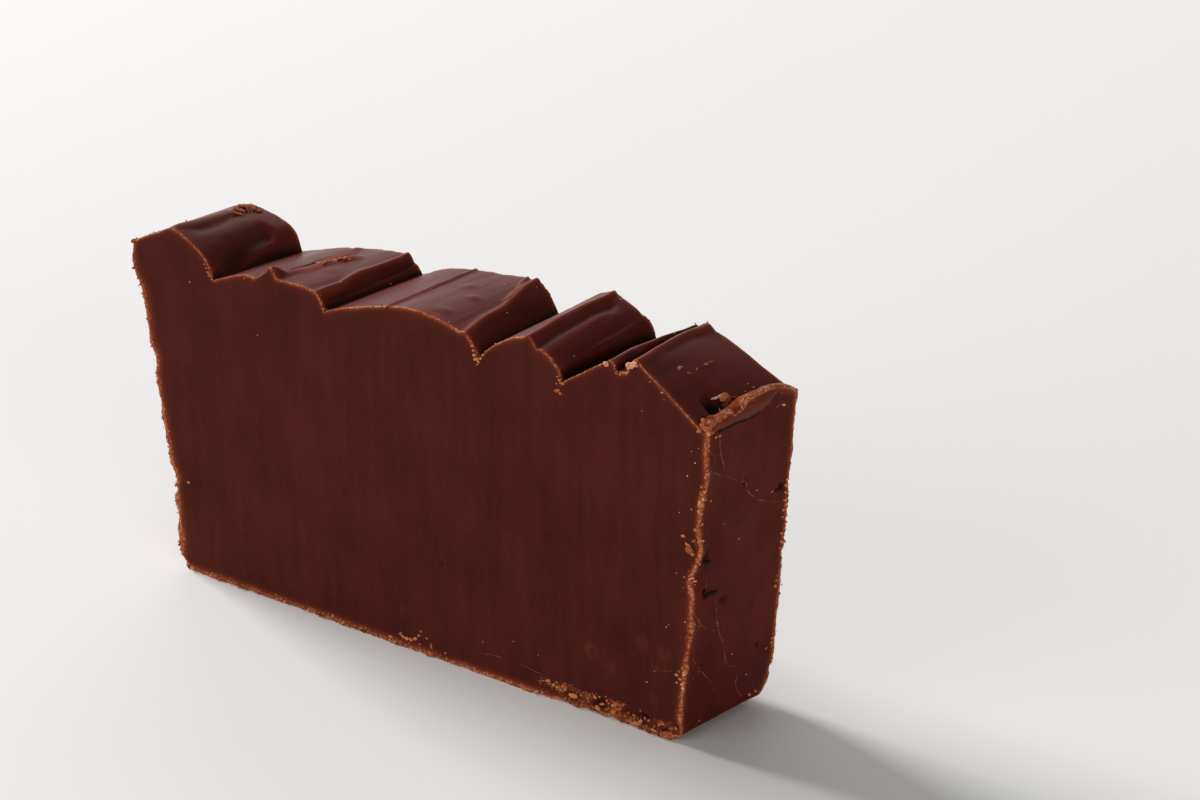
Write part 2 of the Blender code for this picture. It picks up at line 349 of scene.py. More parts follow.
# The bite along an edge: its level and its noise, as strength, waves to the millimetre and
# seed, with a chip wherever a third noise is over its start. Each edge has its own seed.
BITE_LEVEL, EVEN_BITE = 0.55, 0.45
BITE_WAVES = ((0.8, 0.35, 0.0), (0.6, 1.2, 5.0))
CHIP_WAVES, CHIP_SEED, CHIP_START, CHIP_SIZE = 0.75, 2.0, 0.2, 2.4
SEED_STEP = 3.7
RIM_LEVEL, RIM_UNEVENNESS, RIM_WAVES = 0.85, 0.7, 0.25
# Stretches where an edge broke cleanly: the edge, the middle along it, the half length
# and how much thinner the crumbs are.
SPARSE = ((("front", "foot"), 83.0, 14.0, 0.85), (("front", "foot"), 128.0, 8.0, 0.5),
          (("front", "right"), 3.0, 15.0, 0.55), (("front", "right"), 26.0, 6.0, 0.35),
          (("back", "right"), 4.0, 28.0, 0.95), (("back", "right"), 56.0, 18.0, 0.95))

# How far the painted glow reaches, how far from an edge any of this shows, and how strongly crests
# get painted glow and grooves and crevices get painted shade. A point this near to a face lies on it.
PAINTED_GLOW_REACH = 0.5
FARTHEST_TRACE = 2.6
CREST_PAINTED_GLOW = 1.0
GROOVE_SHADE = 0.46
CREVICE_SHADE = 0.75
ON_FACE = 1e-6


def between(low, high, share):
    return low + (high - low) * share


def station(place, cells, crowding):
    """How far along a side the lattice's ring lies, closer together at both ends."""
    even = place / cells
    return between(even, 0.5 - 0.5 * cos(pi * even), crowding)


def bump(distance, half_width):
    """A smooth hump: 1 at no distance, 0 from half_width on."""
    reach = min(abs(distance) / half_width, 1.0)
    return (1.0 - reach * reach) ** 2


def grain(x, y, z):
    return noise.noise(Vector((x, y, z)))


def skin_noise(x, depth, noises):
    return sum(height * grain(x * along, depth * across, seed) for height, along, across, seed in noises)


def line_noise(along, line, noises):
    """Noise along a line on the slice, from (strength, waves to the millimetre, seed)."""
    return sum(strong * grain(along * waves, line, seed) for strong, waves, seed in noises)


def curve_through(points, share):
    """A smooth curve through a lap's points, at a share of its way."""
    spans = len(points) - 1
    place = min(share * spans, spans - 1e-6)
    span = int(place)
    t = place - span
    before = points[max(span - 1, 0)]
    here, there = points[span], points[span + 1]
    after = points[min(span + 2, spans)]
    result = []
    for a, b, c, d in zip(before, here, there, after):
        pull_in, pull_out = (c - a) / 2, (d - b) / 2
        result.append(b + t * (pull_in + t * (3 * (c - b) - 2 * pull_in - pull_out
                                              + t * (2 * (b - c) + pull_in + pull_out))))
    return result


def crease_centre(crease, depth):
    """Where a crease runs at a depth, and how much of it is left: it fades beyond its ends."""
    way = crease.way
    first, last = way[0][1], way[-1][1]
    reach = min(max(depth, first), last)
    centre = way[0][0]
    for (x0, s0), (x1, s1) in zip(way, way[1:]):
        if reach >= s0:
            centre = between(x0, x1, min((reach - s0) / (s1 - s0), 1.0))
    return centre, bump(depth - reach, CREASE_FADE)


def crease_share(crease, x, depth):
    """How near the middle of a crease a place on the skin is, from 0 to 1."""
    centre, fade = crease_centre(crease, depth)
    if abs(x - centre) > crease.half_width + WANDER_ROOM or fade == 0.0:
        return 0.0
    wander = skin_noise(centre, depth, CREASE_WANDER)
    return fade * bump(x + wander - centre, crease.half_width)


def crease_lines(x, depth):
    """How strongly the crests and the grooves of the creases show at a place on the skin, as painted glow and
    painted shade.
    """
    crest = groove = 0.0
    for crease in CREASES.values():
        line = crease_share(crease, x, depth) ** 2 * min(1.0, abs(crease.height) / FULL_LINE_HEIGHT)
        if crease.height > 0.0:
            crest = max(crest, line)
        else:
            groove = max(groove, line)
    return crest, groove


def crevice(x, depth):
    """How near the crevice at the foot of a lap is, from 0 to 1, which sets its painted shade."""
    feet = [between(front.foot[0], back.foot[0], depth) for front, back in zip(FRONT_LAPS, BACK_LAPS[:-1])]
    return max(bump(x - foot, CREVICE_REACH) for foot in feet)


def tear(x, depth):
    """The hole that was torn in the skin beside the lip, from 0 to 1."""
    away = ((x - TEAR_PLACE[0]) ** 2 + ((depth - TEAR_PLACE[1]) * THICKNESS) ** 2) ** 0.5
    return bump(away + TEAR_UNEVENNESS * grain(x, depth * THICKNESS, 2.0), TEAR_RADIUS)


def skin_relief(x, depth):
    """How far the skin stands above its lap: creases, bumps and streaks, less the tear."""
    swell = 1.0 + skin_noise(x, depth, CREASE_SWELL)
    relief = sum(crease.height * swell * crease_share(crease, x, depth) for crease in CREASES.values())
    for place_x, place_depth, height, radius in SKIN_BUMPS:
        away = ((x - place_x) ** 2 + ((depth - place_depth) * THICKNESS) ** 2) ** 0.5
        relief += height * bump(away, radius)
    return relief + skin_noise(x, depth, PADDLE_STREAKS) - TEAR_DEPTH * tear(x, depth)


def hollows_at(hollows, height):
    return sum(inwards * bump(height * LEFT_HEIGHT - place, half_height)
               for place, inwards, half_height in hollows)


def left_end(height, depth):
    lean = between(LEFT_FOOT, LEFT_SKEW * depth, height) + LEFT_ROUND * bump(height, ROUND_HEIGHT)
    return lean + hollows_at(LEFT_HOLLOWS, height) * bump(depth, HOLLOW_REACH)


def right_end(height, depth):
    foot = between(*RIGHT_FOOT, depth) - RIGHT_ROUND * bump(height, ROUND_HEIGHT)
    overhang = bump(height - 1.0, LIP_THICKNESS) * bump(depth - LIP_PEAK, LIP_OVERHANG_REACH)
    seam = hollows_at(SEAM_HOLLOWS, height) * bump(depth, SEAM_REACH)
    return between(foot, between(*RIGHT_TOP, depth), height) + LIP_OVERHANG * overhang - seam


def lip_rise(depth):
    reach = LIP_REACH_FRONT if depth < LIP_PEAK else LIP_REACH_BACK
    return LIP_RISE * max(0.0, 1.0 - ((depth - LIP_PEAK) / reach) ** 2)


def worn(x, z):
    """How much of the worn lower back corner is gone, from 0 to 1."""
    below = 1.0 - min(z / WORN_HEIGHT, 1.0)
    return (1.0 - (1.0 - below * below) ** 0.5) * bump(x - RIGHT_FOOT[1], WORN_LENGTH)


def broken(x, z):
    """How much of the broken front bottom edge is gone, from 0 to 1: a rough step."""
    start, stop = BROKEN_EDGE
    along = bump(x - (start + stop) / 2, (stop - start) / 2) ** 0.5
    step = z + line_noise(x, 0.0, BROKEN_LINE)
    rough = BROKEN_LEVEL + sum(strong * grain(x * waves, seed, z * waves)
                               for strong, waves, seed in BROKEN_ROUGHNESS)
    return along * rough * min(1.0, max(0.0, BROKEN_STEEPNESS * (1.0 - step / BROKEN_HEIGHT)))


def crowded_shares(lap, columns, depth):
    """Where a lap's columns lie along its way at one cut, crowded at creases and crevices."""
    steps = STEPS_PER_COLUMN * columns
    centres = [crease_centre(crease, depth)[0] for crease in CREASES.values()]
    passed = [0.0]
    for step in range(steps):
        x = curve_through(lap, (step + 0.5) / steps)[0]
        crevices = sum(bump(x - end[0], CREVICE_CROWDED) for end in (lap.start, lap.foot))
        creases = sum(bump(x - centre, CREASE_CROWDED) for centre in centres)
        passed.append(passed[-1] + 1.0 + CREVICE_CROWDING * crevices + CREASE_CROWDING * creases)
    shares, step = [], 0
    for column in range(columns + 1):
        wanted = passed[-1] * column / columns
        while step < steps - 1 and passed[step + 1] < wanted:
            step += 1
        part = (wanted - passed[step]) / (passed[step + 1] - passed[step])
        shares.append((step + part) / steps)
    return shares


FRONT_SHARES = [crowded_shares(lap, columns, 0.0) for lap, columns in zip(FRONT_LAPS, LAP_COLUMNS)]
BACK_SHARES = [crowded_shares(lap, columns, 1.0) for lap, columns in zip(BACK_LAPS, LAP_COLUMNS)]


@cache
def skin_point(column, depth):
    """The swirled skin at a column of the lattice, as (x, z)."""
    first = 0
    for lap, columns in enumerate(LAP_COLUMNS):
        if column <= first + columns:
            share = between(FRONT_SHARES[lap][column - first], BACK_SHARES[lap][column - first], depth)
            front = curve_through(FRONT_LAPS[lap], share)
            back = curve_through(BACK_LAPS[lap], share)
            x = between(front[0], back[0], depth)
            return x, between(front[1], back[1], depth) + skin_relief(x, depth)
        first += columns
    x, z = skin_point(first, depth)
    share = (column - first) / LIP_COLUMNS
    rise = lip_rise(depth) * min(1.0, LIP_STEEPNESS * share)
    return between(x, right_end(1.0, depth), share), z + rise - LIP_FALL * share


def slice_point(column, columns, depth, height):
    """Where a point of the lattice lies on the uncrumbled slice, in millimetres, and how
    far it is from each face."""
    top_x, top_z = skin_point(column, depth)
    left_top, right_top = left_end(1.0, depth), right_end(1.0, depth)
    along = (top_x - left_top) / (right_top - left_top)
    along = between(column / columns, along, height)
    left, right = left_end(height, depth), right_end(height, depth)
    x, z = between(left, right, along), top_z * height
    wear = worn(x, z)
    front = -THICKNESS / 2 + BROKEN_DEPTH * broken(x, z)
    back = THICKNESS / 2 - WORN_DEPTH * wear
    y = between(front, back, depth)
    away = {"front": y - front, "back": back - y, "left": x - left, "right": right - x,
            "top": top_z - z, "foot": z}
    return Vector((x - WORN_PULL * wear * depth, y, z)), away


def lattice(counts):
    """A closed unit box, cut into counts cells along x, y and z."""
    grid = bmesh.new()
    bmesh.ops.create_cube(grid, size=1.0)
    bmesh.ops.translate(grid, verts=grid.verts, vec=(0.5, 0.5, 0.5))
    for axis, count in enumerate(counts):
        along = [edge for edge in grid.edges
                 if abs(edge.verts[0].co[axis] - edge.verts[1].co[axis]) > 0.5]
        bmesh.ops.subdivide_edges(grid, edges=along, cuts=count - 1, use_grid_fill=True)
    return grid


def fall_off(distance, reach):
    return max(0.0, 1.0 - distance / reach) ** 2


def edge_bite(along, seed):
    """How uneven the crumbling is along a knife edge, about 0 to 2."""
    chip = max(0.0, grain(along * CHIP_WAVES, seed, CHIP_SEED) - CHIP_START) * CHIP_SIZE
    return max(0.0, BITE_LEVEL + line_noise(along, seed, BITE_WAVES) + chip)


def crumbled(point, away):
    """Moves a point in from the knife edges that it is near. Also says how pale the fudge
    is there, how much painted glow it gets and how thickly crumbs cling to it."""
    moved, pale, painted_glow, clinging = point.copy(), 0.0, 0.0, 0.0
    for seed, edge in enumerate(EDGES):
        far = max(away[face] for face in edge.faces)
        if far > FARTHEST_TRACE:
            continue
        along = point[edge.runs]
        near = fall_off(away[edge.faces[0]], edge.reach) * fall_off(away[edge.faces[1]], edge.reach)
        if near > 0.0:
            bite = edge.bite * (edge_bite(along, seed * SEED_STEP) - EVEN_BITE)
            for face in edge.faces:
                moved += INWARD[face] * (bite * near)
        patch = RIM_LEVEL + RIM_UNEVENNESS * grain(along * RIM_WAVES, seed, 9.0)
        pale = max(pale, edge.pale * patch * min(1.0, RIM_FULLNESS * exp(-far / edge.rim)))
        painted_glow = max(painted_glow, edge.pale * exp(-far / PAINTED_GLOW_REACH))
        for runs, middle, half_length, thinned in SPARSE:
            if edge.faces == runs:
                patch *= 1.0 - thinned * bump(along - middle, half_length)
        clinging = max(clinging, edge.clinging * patch * exp(-far / CLINGING_REACH))
    return moved, pale, painted_glow, clinging


def waviness(point, waves):
    return sum(height * noise.noise(point * to_mm) for height, to_mm in waves)


def cut_relief(point, away):
    """What is left on the flat faces: the knife's waviness, pits, and cracked slots.
    Returns the move and how much painted shade the point gets in a pit or slot."""
    moved, painted_shade = Vector((0.0, 0.0, 0.0)), 0.0
    if away["front"] < ON_FACE:
        uneven = CRUST_LEVEL + CRUST_UNEVENNESS * grain(point.x * CRUST_WAVES, 2.0, 6.0)
        moved.y += waviness(point, KNIFE_WAVES) - CRUST_PROUD * uneven * bump(point.z, CRUST_HEIGHT)
        for x, z, radius, dip in CUT_PITS:
            near = bump(((point.x - x) ** 2 + (point.z - z) ** 2) ** 0.5, radius)
            moved.y += dip * near
            painted_shade = max(painted_shade, PIT_SHADE * near)
    if away["right"] < ON_FACE:
        moved.x -= waviness(point, RIGHT_WAVES)
        for share, z, half_width, half_height, dip in END_PITS:
            across = (point.y / THICKNESS + 0.5 - share) * THICKNESS / half_width
            near = bump((across ** 2 + ((point.z - z) / half_height) ** 2) ** 0.5, 1.0)
            moved.x -= dip * near
            painted_shade = max(painted_shade, near)
    if away["left"] < ON_FACE:
        moved.x += waviness(point, LEFT_WAVES)
    return moved, painted_shade


def skin_marks(x, depth, painted_glow, painted_shade):
    """The painted glow and painted shade of a place on the skin, with its creases, crevices and tear."""
    crest, groove = crease_lines(x, depth)
    shades = GROOVE_SHADE * groove, CREVICE_SHADE * crevice(x, depth), min(1.0, TEAR_SHADE * tear(x, depth))
    return max(painted_glow, CREST_PAINTED_GLOW * crest), max(painted_shade, *shades)


def front_marks(x, z, pale, clinging, painted_shade):
    """How pale and crumbly a place on the front is, and its painted shade, with scuffs and the broken edge.
    """
    for scuff_x, scuff_z, radius, strength in SCUFFS:
        mark = SCUFF_LEVEL + grain(x * SCUFF_WAVES, 6.0, z * SCUFF_WAVES)
        near = bump(((x - scuff_x) ** 2 + (z - scuff_z) ** 2) ** 0.5, radius)
        pale = max(pale, strength * mark * near)
    step = broken(x, z)
    patch = max(0.0, PATCH_LEVEL + PATCH_UNEVENNESS * grain(x * PATCH_WAVES[0], 1.0, z * PATCH_WAVES[1]))
    return (max(pale, PATCH_PALE * patch * min(step, 1.0)),
            max(clinging, PATCH_CLINGING * patch * min(step, PATCH_FULL - step)),
            max(painted_shade, PATCH_SHADE * (1.0 - patch) * bump(step - SHADE_START, SHADE_REACH)))


def face_kinds(shape):
    """Marks each face of the unit box: 0 skin, 1 knife cut, 2 side of the loaf, 3 underside."""
    for face in shape.faces:
        normal = face.normal
        if normal.z > 0.5:
            face.material_index = 0
        elif abs(normal.y) > 0.5:
            face.material_index = 1
        elif abs(normal.x) > 0.5:
            face.material_index = 2
        else:
            face.material_index = 3


def node_shift(shape, node):
    """The move that centres a finished shape on its CAD node's box, in millimetres."""
    low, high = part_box(node)
    shift = Vector((0.0, 0.0, 0.0))
    for axis in (0, 1):
        places = [vert.co[axis] for vert in shape.verts]
        shift[axis] = (low[axis] + high[axis]) / 2 / MM - (min(places) + max(places)) / 2
    return shift


def stretched_noise(tree, stretch, detail):
    """Noise on the slice's own coordinates, so many waves to the metre on each axis."""
    place = tree.nodes.new("ShaderNodeTexCoord")
    mapping = tree.nodes.new("ShaderNodeMapping")
    mapping.inputs["Scale"].default_value = stretch
    pattern = tree.nodes.new("ShaderNodeTexNoise")
    pattern.inputs["Scale"].default_value = 1.0
    pattern.inputs["Detail"].default_value = detail
    tree.links.new(place.outputs["Object"], mapping.inputs["Vector"])
    tree.links.new(mapping.outputs["Vector"], pattern.inputs["Vector"])
    return pattern.outputs["Fac"]


def ramp(tree, source, stops):
    """A colour ramp over a source, from (place, colour) stops."""
    node = tree.nodes.new("ShaderNodeValToRGB")
    elements, stops = node.color_ramp.elements, list(stops)
    while len(elements) < len(stops):
        elements.new(0.5)
    for element, (place, colour) in zip(elements, stops):
        element.position = place
        element.color = colour
    tree.links.new(source, node.inputs["Fac"])
    return node.outputs["Color"]


def blend_colours(tree, share, under, over):
    node = tree.nodes.new("ShaderNodeMix")
    node.data_type = "RGBA"
    for value, name in ((share, "Factor"), (under, "A"), (over, "B")):
        socket = node.inputs[name]
        if isinstance(value, tuple):
            socket.default_value = value
        else:
            tree.links.new(value, socket)
    return node.outputs["Result"]


def even_noise(tree, waves, detail):
    return stretched_noise(tree, (waves, waves, waves), detail)


def spread(tree, source, found, wanted):
    """Maps a value from one range to another, held at both ends."""
    node = tree.nodes.new("ShaderNodeMapRange")
    node.inputs["From Min"].default_value, node.inputs["From Max"].default_value = found
    node.inputs["To Min"].default_value, node.inputs["To Max"].default_value = wanted
    tree.links.new(source, node.inputs["Value"])
    return node.outputs["Result"]


def reckon(tree, operation, first, second):
    """One step of arithmetic on two values, of which the second may be a number."""
    node = tree.nodes.new("ShaderNodeMath")
    node.operation = operation
    tree.links.new(first, node.inputs[0])
    if isinstance(second, float):
        node.inputs[1].default_value = second
    else:
        tree.links.new(second, node.inputs[1])
    return node.outputs[0]


def scaled(tree, value, factor, shift):
    """A value times a factor, and a shift added to it."""
    return reckon(tree, "ADD", reckon(tree, "MULTIPLY", value, factor), shift)


def marked(tree, name):
    """A value that the mesh carries at each of its points."""
    node = tree.nodes.new("ShaderNodeAttribute")
    node.attribute_name = name
    return node.outputs["Fac"]


def add_bump(tree, shader, height, strength, distance):
    node = tree.nodes.new("ShaderNodeBump")
    node.inputs["Strength"].default_value = strength
    node.inputs["Distance"].default_value = distance
    tree.links.new(height, node.inputs["Height"])
    tree.links.new(node.outputs["Normal"], shader.inputs["Normal"])


# The dark and the light of the fudge on each kind of face, then the colours of the
# crumbled rims, whose orange is painted glow, of the painted glow beside them and of the painted shade in
# hollows.
CUT_DARK = (0.064, 0.0113, 0.0073, 1.0)
CUT_LIGHT = (0.094, 0.0174, 0.0112, 1.0)
SIDE_DARK = (0.070, 0.0100, 0.0056, 1.0)
SIDE_LIGHT = (0.118, 0.0190, 0.0114, 1.0)
SKIN_DARK = (0.090, 0.0112, 0.0064, 1.0)
SKIN_LIGHT = (0.132, 0.0178, 0.0102, 1.0)
RIM_DARK = (0.22, 0.050, 0.021, 1.0)
RIM_LIGHT = (0.66, 0.235, 0.105, 1.0)
RIM_PAINTED_GLOW = (0.30, 0.060, 0.022, 1.0)
PAINTED_GLOW = (0.25, 0.044, 0.017, 1.0)
PAINTED_SHADE_COLOUR = (0.010, 0.0025, 0.0015, 1.0)

# Noises, as (waves to the metre, detail), and the share of each in the mottled colour.
RIM_GRAIN = (1900.0, 4.0)
CLOUDS, CLOUD_SHARE = (75.0, 3.0), 0.40
STREAK_DETAIL, STREAK_SHARE = 4.0, 0.38
FINE_GRAIN, GRAIN_SHARE = (1700.0, 2.0), 0.22
SURFACE_GRAIN = (1400.0, 4.0)
STREAK_RANGE = (0.3, 0.7)
STREAK_RELIEF = 1.5

# The colours' places in the ramps, between which values of its mark each colour comes in,
# and how much of it is laid on at most.
MOTTLE_STOPS = (0.38, 0.62)
RIM_STOPS = (0.38, 0.60)
PAINTED_GLOW_SHARE = 0.75
# Where the orange band of painted glow beside the rims comes in, and how much of it is laid on.
PAINTED_ORANGE_COMES, PAINTED_ORANGE_SHARE = (0.02, 0.5), 0.75
TAN_COMES = (0.36, 0.92)
TAN_BREAKS = 1.6
PAINTED_SHADE_COMES, PAINTED_SHADE_SHARE = (0.1, 0.8), 0.92


def rim_colour(tree, under):
    """Lays the paler crumb colour over a face's knife edges, broken up by fine noise, and
    painted glow beside them, warm and orange, for light that comes through the fudge, with painted shade in
    hollows."""
    painted_glow_colour = blend_colours(tree, reckon(tree, "MULTIPLY", marked(tree, "painted_glow"), PAINTED_GLOW_SHARE), under, PAINTED_GLOW)
    fine = even_noise(tree, *RIM_GRAIN)
    tan = ramp(tree, fine, zip(RIM_STOPS, (RIM_DARK, RIM_LIGHT)))
    uneven = scaled(tree, fine, TAN_BREAKS, -TAN_BREAKS / 2)
    painted_orange = spread(tree, marked(tree, "pale"), PAINTED_ORANGE_COMES, (0.0, PAINTED_ORANGE_SHARE))
    share = spread(tree, reckon(tree, "ADD", marked(tree, "pale"), uneven), TAN_COMES, (0.0, 1.0))
    rimmed = blend_colours(tree, share, blend_colours(tree, painted_orange, painted_glow_colour, RIM_PAINTED_GLOW), tan)
    painted_shade = spread(tree, marked(tree, "painted_shade"), PAINTED_SHADE_COMES, (0.0, PAINTED_SHADE_SHARE))
    return blend_colours(tree, painted_shade, rimmed, PAINTED_SHADE_COLOUR)


def fudge_finish(name, dark, light, streak, roughness, shine, grain_depth):
    """Fudge: clouded, streaked one way, finely grained, paler at its edges, with painted glow beside them and
    painted shade in hollows.
    """
    material, shader = new_material(name, dark, roughness[0], shine)
    tree = material.node_tree
    streaks = stretched_noise(tree, streak, STREAK_DETAIL)
    mottle = reckon(tree, "MULTIPLY", even_noise(tree, *CLOUDS), CLOUD_SHARE)
    for pattern, share in ((streaks, STREAK_SHARE), (even_noise(tree, *FINE_GRAIN), GRAIN_SHARE)):
        mottle = reckon(tree, "ADD", mottle, reckon(tree, "MULTIPLY", pattern, share))
    colour = rim_colour(tree, ramp(tree, mottle, zip(MOTTLE_STOPS, (dark, light))))
    tree.links.new(colour, shader.inputs["Base Color"])
    tree.links.new(spread(tree, streaks, STREAK_RANGE, roughness), shader.inputs["Roughness"])
    relief = reckon(tree, "MULTIPLY", streaks, STREAK_RELIEF)
    relief = reckon(tree, "ADD", even_noise(tree, *SURFACE_GRAIN), relief)
    add_bump(tree, shader, relief, strength=0.4, distance=grain_depth)
    return material


FUDGE_FINISHES = (
    fudge_finish("swirled_skin", SKIN_DARK, SKIN_LIGHT, streak=(700.0, 70.0, 400.0),
                 roughness=(0.34, 0.50), shine=0.10, grain_depth=0.00005),
    fudge_finish("knife_cut", CUT_DARK, CUT_LIGHT, streak=(520.0, 200.0, 60.0),
                 roughness=(0.60, 0.75), shine=0.04, grain_depth=0.00006),
    fudge_finish("loaf_side", SIDE_DARK, SIDE_LIGHT, streak=(200.0, 260.0, 110.0),
                 roughness=(0.50, 0.65), shine=0.03, grain_depth=0.00009),
    fudge_finish("bottom_crust", CUT_DARK, CUT_LIGHT, streak=(150.0, 150.0, 150.0),
                 roughness=(0.60, 0.75), shine=0.04, grain_depth=0.00015),
)


def fudge_body():
    """The whole slice as one closed mesh, and how far it was moved to fit its node."""
    columns = sum(LAP_COLUMNS) + LIP_COLUMNS
    counts = (columns, DEPTH_CELLS, HEIGHT_CELLS)
    shape = lattice(counts)
    shape.normal_update()
    face_kinds(shape)
    layers = [shape.verts.layers.float.new(name) for name in ("pale", "painted_glow", "clinging", "painted_shade")]
    for vert in shape.verts:
        column, ring, row = (round(share * count) for share, count in zip(vert.co, counts))
        depth = station(ring, DEPTH_CELLS, DEPTH_CROWDING)
        height = station(row, HEIGHT_CELLS, HEIGHT_CROWDING)
        point, away = slice_point(column, columns, depth, height)
        moved, pale, painted_glow, clinging = crumbled(point, away)
        relief, painted_shade = cut_relief(point, away)
        if row == HEIGHT_CELLS:
            painted_glow, painted_shade = skin_marks(point.x, depth, painted_glow, painted_shade)
        if ring == 0:
            pale, clinging, painted_shade = front_marks(point.x, point.z, pale, clinging, painted_shade)
        vert.co = moved + relief
        for layer, value in zip(layers, (pale, painted_glow, clinging, painted_shade)):
            vert[layer] = value
    shift = node_shift(shape, "fudge_slice")
    bmesh.ops.translate(shape, verts=shape.verts, vec=shift)
    bmesh.ops.scale(shape, verts=shape.verts, vec=(MM, MM, MM))
    bmesh.ops.recalc_face_normals(shape, faces=shape.faces)
    for face in shape.faces:
        face.smooth = True
    return solid_from(shape, "fudge_body", FUDGE_FINISHES), shift


body, body_shift = fudge_body()
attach(body, "root")
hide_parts("fudge_slice")


# The torn lip: a flap of skin that was dragged up and folded over the top of the right
# end while the fudge was soft. It is the same fudge, paler where it tore, and stands a
# little proud of the end, with a crack below it that black pieces darken as painted shade.

# Its way along the end, as (y, z of its lower edge, z of its upper edge), in millimetres.
FLAP_WAY = ((-11.3, 57.9, 59.2), (-9.5, 57.8, 60.0), (-7.0, 57.6, 60.2), (-4.5, 57.6, 60.7),
            (-2.0, 57.5, 61.3), (0.5, 57.6, 61.4), (3.8, 58.9, 61.6), (8.0, 59.9, 60.9))
FLAP_CELLS = (90, 12, 18)
FLAP_THICKNESS = 1.9
FLAP_PROUD = 0.45
FLAP_LEAN = 0.9
FLAP_ROUNDNESS = 0.75
FLAP_ENDS = (0.05, 0.16)
FLAP_LUMPS = ((2.4, 0.30), (0.6, 0.10))
TORN_BROWN = (0.150, 0.038, 0.024, 1.0)
TORN_RED = (0.20, 0.030, 0.013, 1.0)
TORN_ORANGE = (0.52, 0.110, 0.035, 1.0)
TORN_GRAIN = (900.0, 4.0)
TORN_BREAKS = 0.7

# Where the flap shows its torn inside, as shares of its height, its thickness and its
# length, and how patchy that is: the level, the unevenness and the patches' size.
TORN_ABOVE = 0.55
TORN_INSIDE, TORN_OUTSIDE = 0.3, 0.8
TORN_FRONT, TORN_FRONT_REACH = 0.5, 0.25
TORN_LEVEL, TORN_UNEVENNESS, TORN_PATCH = 0.85, 0.6, 1.6


def flap_point(along, across, up):
    """Where a point of the unit box lies on the torn lip: a rough rounded slab."""
    y, low, high = curve_through(FLAP_WAY, along)
    taper = min(1.0, along / FLAP_ENDS[0], (1.0 - along) / FLAP_ENDS[1]) ** 0.5
    side, rise = 2.0 * across - 1.0, 2.0 * up - 1.0
    round_side = between(side, side * (1.0 - rise * rise / 2) ** 0.5, FLAP_ROUNDNESS)
    round_rise = between(rise, rise * (1.0 - side * side / 2) ** 0.5, FLAP_ROUNDNESS)
    z = (low + high) / 2 + (high - low) / 2 * taper * round_rise
    outer = right_end(1.0, 0.5 + y / THICKNESS) - LIP_OVERHANG / 2 + FLAP_PROUD * taper
    x = outer - FLAP_THICKNESS / 2 * (1.0 - taper * round_side) - FLAP_LEAN * max(0.0, round_rise) ** 2
    point = Vector((x, y, z))
    return sum((noise.noise_vector(point / size) * height for size, height in FLAP_LUMPS), point)


def torn_finish():
    """Torn skin: dark like the loaf's side, orange towards its torn rim and tan on it."""
    material, shader = new_material("torn_skin", TORN_BROWN, roughness=0.75, shine=0.05)
    tree = material.node_tree
    fine = even_noise(tree, *TORN_GRAIN)
    torn = reckon(tree, "ADD", marked(tree, "torn"), scaled(tree, fine, TORN_BREAKS, -TORN_BREAKS / 2))
    colour = ramp(tree, torn, ((0.05, TORN_BROWN), (0.5, TORN_RED), (0.82, TORN_ORANGE), (1.0, RIM_LIGHT)))
    tree.links.new(colour, shader.inputs["Base Color"])
    add_bump(tree, shader, fine, strength=0.8, distance=0.00025)
    return material


def torn_lip():
    shape = lattice(FLAP_CELLS)
    torn = shape.verts.layers.float.new("torn")
    for vert in shape.verts:
        along, across, up = vert.co
        near_rim = max(0.0, (up - TORN_ABOVE) / (1.0 - TORN_ABOVE)) ** 2
        near_rim *= min(1.0, TORN_INSIDE + TORN_OUTSIDE * across)
        near_front = TORN_FRONT * max(0.0, 1.0 - along / TORN_FRONT_REACH)
        point = flap_point(along, across, up)
        patch = TORN_LEVEL + TORN_UNEVENNESS * noise.noise(point / TORN_PATCH)
        vert[torn] = max(near_rim, near_front) * patch
        vert.co = (point + body_shift) * MM
    bmesh.ops.recalc_face_normals(shape, faces=shape.faces)
    for face in shape.faces:
        face.smooth = True
    return solid_from(shape, "torn_lip", [torn_finish()])


lip = torn_lip()
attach(lip, "root")


# Crumbs. Fudge is short, so the knife leaves small paler crumbs clinging to every edge.
# Most are fine and lie thickest where the edge broke; some larger ones lie where the
# photograph shows them, partly sunk in the fudge.
CRUMB_SEED = 41
CRUMB_BATCH = 120

# How many fine crumbs lie around each crumbly point of the mesh, their radius with the
# power that makes the larger ones rare, how far they slide and sink, how high the centre
# lies over the floor, how far they are stretched on each side, and their tones. The pairs
# called growth are a level and how much it grows where crumbs lie thick.
LEAST_CLINGING = 0.08
CRUMBS_PER_PLACE = 4.0
CRUMB_RADIUS, CRUMB_RARITY = (0.08, 0.30), 2.5
SIZE_GROWTH, TONE_GROWTH = (0.7, 0.5), (0.75, 0.3)
CRUMB_SLIDE, CRUMB_SINK, CRUMB_REST = 0.28, 0.1, 0.85
CRUMB_STRETCHES = ((0.8, 1.7), (0.6, 1.1), (0.5, 0.9))
CRUMB_TONES, TONE_SPREAD = (0.25, 0.80), 0.08

